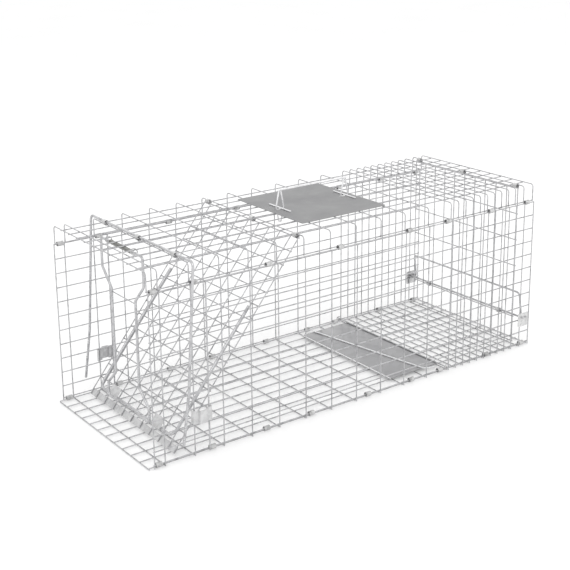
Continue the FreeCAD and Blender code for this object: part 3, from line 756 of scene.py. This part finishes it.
def door_sheets():
    """The strip along the door's foot and the two lugs that the lock bail's feet meet."""
    back = -SHEET + LIFT - WIRE / 2 - SNUG
    half = DOOR_HALF + WIRE / 2
    sill = rounded_corners(rectangle(DOOR_LENGTH - SILL_WIDTH, -half, DOOR_LENGTH, half), 1.5)
    sheet_piece("door_sill", [sill], SHEET, DOOR @ Matrix.Translation((0, 0, back + SHEET / 2)),
                SMALL_ZINC, "door", "door_sill_strip")
    out = LIFT + WIRE / 2 + HEAVY + 3 * SNUG
    lug = [(398.0, out + SHEET), (420.2, out + SHEET), (420.2, out - HEAVY - 2 * SNUG)]
    for name, node, side in (("near_lug", "near_lock_lug", 1), ("far_lug", "far_lock_lug", -1)):
        sheet_piece(name, [bent_strip(lug, -SHEET, SHEET_BEND)], 32.0,
                    DOOR @ side_view(side * 80.0), SMALL_ZINC, "door", node)


def catch_plates():
    """Each one is folded round a wall wire and a post, with a raised band between them."""
    first = FRONT + 82.0
    last = POST_X
    root = WALL_Y - 2
    skin = WALL_Y + LIFT + WIRE / 2 + 1.6
    band = skin + 5
    for name, node, side in (("near_catch", "near_catch_plate", -1),
                             ("far_catch", "far_catch_plate", 1)):
        spine = [(first - 3.2, root), (first - 3.2, skin), (first + 7, skin), (first + 9, band),
                 (last - 9, band), (last - 7, skin), (last + 4.2, skin), (last + 4.2, root)]
        spine = [(x, side * y) for x, y in spine]
        sheet_piece(name, [bent_strip(spine, side * SHEET, SHEET_BEND)], 25.2,
                    Matrix.Translation((0, 0, 61.9 + 25.2 / 2)), SMALL_ZINC, "cage", node)


def latch_brackets():
    """Flat plates on the walls with holes for the cross rod and the rear bail."""
    inner = WALL_Y + LIFT + WIRE / 2 + 0.2
    outline = rounded_corners(rectangle(FRONT + 893, 46, FRONT + 923, 76), 3.0)
    holes = [circle(CROSS_ROD_X, CROSS_ROD_Z, 2.1), circle(REAR_BAIL_X, REAR_BAIL_Z, 2.1)]
    for name, node, side in (("near_bracket", "near_latch_bracket", -1),
                             ("far_bracket", "far_latch_bracket", 1)):
        sheet_piece(name, [outline] + holes, SHEET, side_view(side * (inner + SHEET / 2)),
                    SMALL_ZINC, "cage", node)


# ---------------------------------------------------------------- stage, light, camera

def stage():
    """A pale floor that glows a little, which keeps the shadow on it faint, under white sky."""
    mesh = bmesh.new()
    bmesh.ops.create_grid(mesh, x_segments=1, y_segments=1, size=9.0)
    data = bpy.data.meshes.new("floor")
    mesh.to_mesh(data)
    mesh.free()
    material, tree, shader = nodes_of("pale_floor")
    coordinate = tree.nodes.new("ShaderNodeTexCoord").outputs["Object"]
    soft = noise(tree, coordinate, 3.0, 2.0)
    link(tree, ramp(tree, soft, [(0.3, (0.785, 0.785, 0.785)), (0.7, (0.80, 0.80, 0.80))]),
         shader.inputs["Base Color"])
    shader.inputs["Emission Color"].default_value = (1.0, 1.0, 1.0, 1.0)
    shader.inputs["Emission Strength"].default_value = 0.2
    shader.inputs["Roughness"].default_value = 0.9
    shader.inputs["Specular IOR Level"].default_value = 0.1
    data.materials.append(material)
    floor = bpy.data.objects.new("floor", data)
    floor.location = (0, 0, -0.0006)
    bpy.context.scene.collection.objects.link(floor)
    world = bpy.data.worlds.new("studio")
    world.use_nodes = True
    world.node_tree.nodes["Background"].inputs["Color"].default_value = (1.0, 1.0, 1.0, 1.0)
    world.node_tree.nodes["Background"].inputs["Strength"].default_value = 1.0
    bpy.context.scene.view_settings.view_transform = "Standard"
    bpy.context.scene.world = world


def area_light(name, place, target, size, power):
    """A square light that faces its target; distances are in metres."""
    light = bpy.data.lights.new(name, "AREA")
    light.shape = "SQUARE"
    light.size = size
    light.energy = power
    holder = bpy.data.objects.new(name, light)
    holder.location = place
    aim = Vector(target) - Vector(place)
    holder.rotation_euler = aim.to_track_quat("-Z", "Y").to_euler()
    bpy.context.scene.collection.objects.link(holder)


def camera():
    """Looks down the cage's near front corner from a little above the roof."""
    azimuth = math.radians(-36.27)
    elevation = math.radians(15.28)
    roll = math.radians(-0.54)
    right = Vector((math.cos(azimuth), math.sin(azimuth), 0))
    back = Vector((math.sin(azimuth) * math.cos(elevation),
                   -math.cos(azimuth) * math.cos(elevation), math.sin(elevation)))
    up = back.cross(right)
    turned_right = right * math.cos(roll) + up * math.sin(roll)
    turned_up = up * math.cos(roll) - right * math.sin(roll)
    middle = Vector((-9.0, 0, 180.0))
    eye = middle - turned_right * 34.33 + turned_up * 178.53 + back * 2352.65
    data = bpy.data.cameras.new("camera")
    data.sensor_width = 36.0
    data.lens = 74.07
    data.shift_y = -0.149
    data.clip_end = 60.0
    holder = bpy.data.objects.new("camera", data)
    turn = Matrix((turned_right, turned_up, back)).transposed().to_4x4()
    holder.matrix_world = Matrix.Translation(eye * MM) @ turn
    bpy.context.scene.collection.objects.link(holder)
    bpy.context.scene.camera = holder


camera()
stage()
area_light("key", (-1.6, -2.2, 2.6), (0, 0, 0.1), 1.6, 22.0)
area_light("fill", (2.4, -1.6, 1.8), (0, 0, 0.1), 2.0, 8.0)
area_light("back", (0.4, 2.6, 2.2), (0, 0, 0.2), 2.0, 8.0)
floor_mesh()
wall_mesh("near_wall_mesh", -1, "near_side_panel")
wall_mesh("far_wall_mesh", 1, "far_side_panel")
roof_mesh()
door_mesh()
rear_mesh()
clips_and_rings()
lock_bail()
outer_bail()
door_stiffener()
rear_rods()
door_posts()
treadle_rods()
handle()
hand_guard()
treadle_pan()
door_sheets()
catch_plates()
latch_brackets()
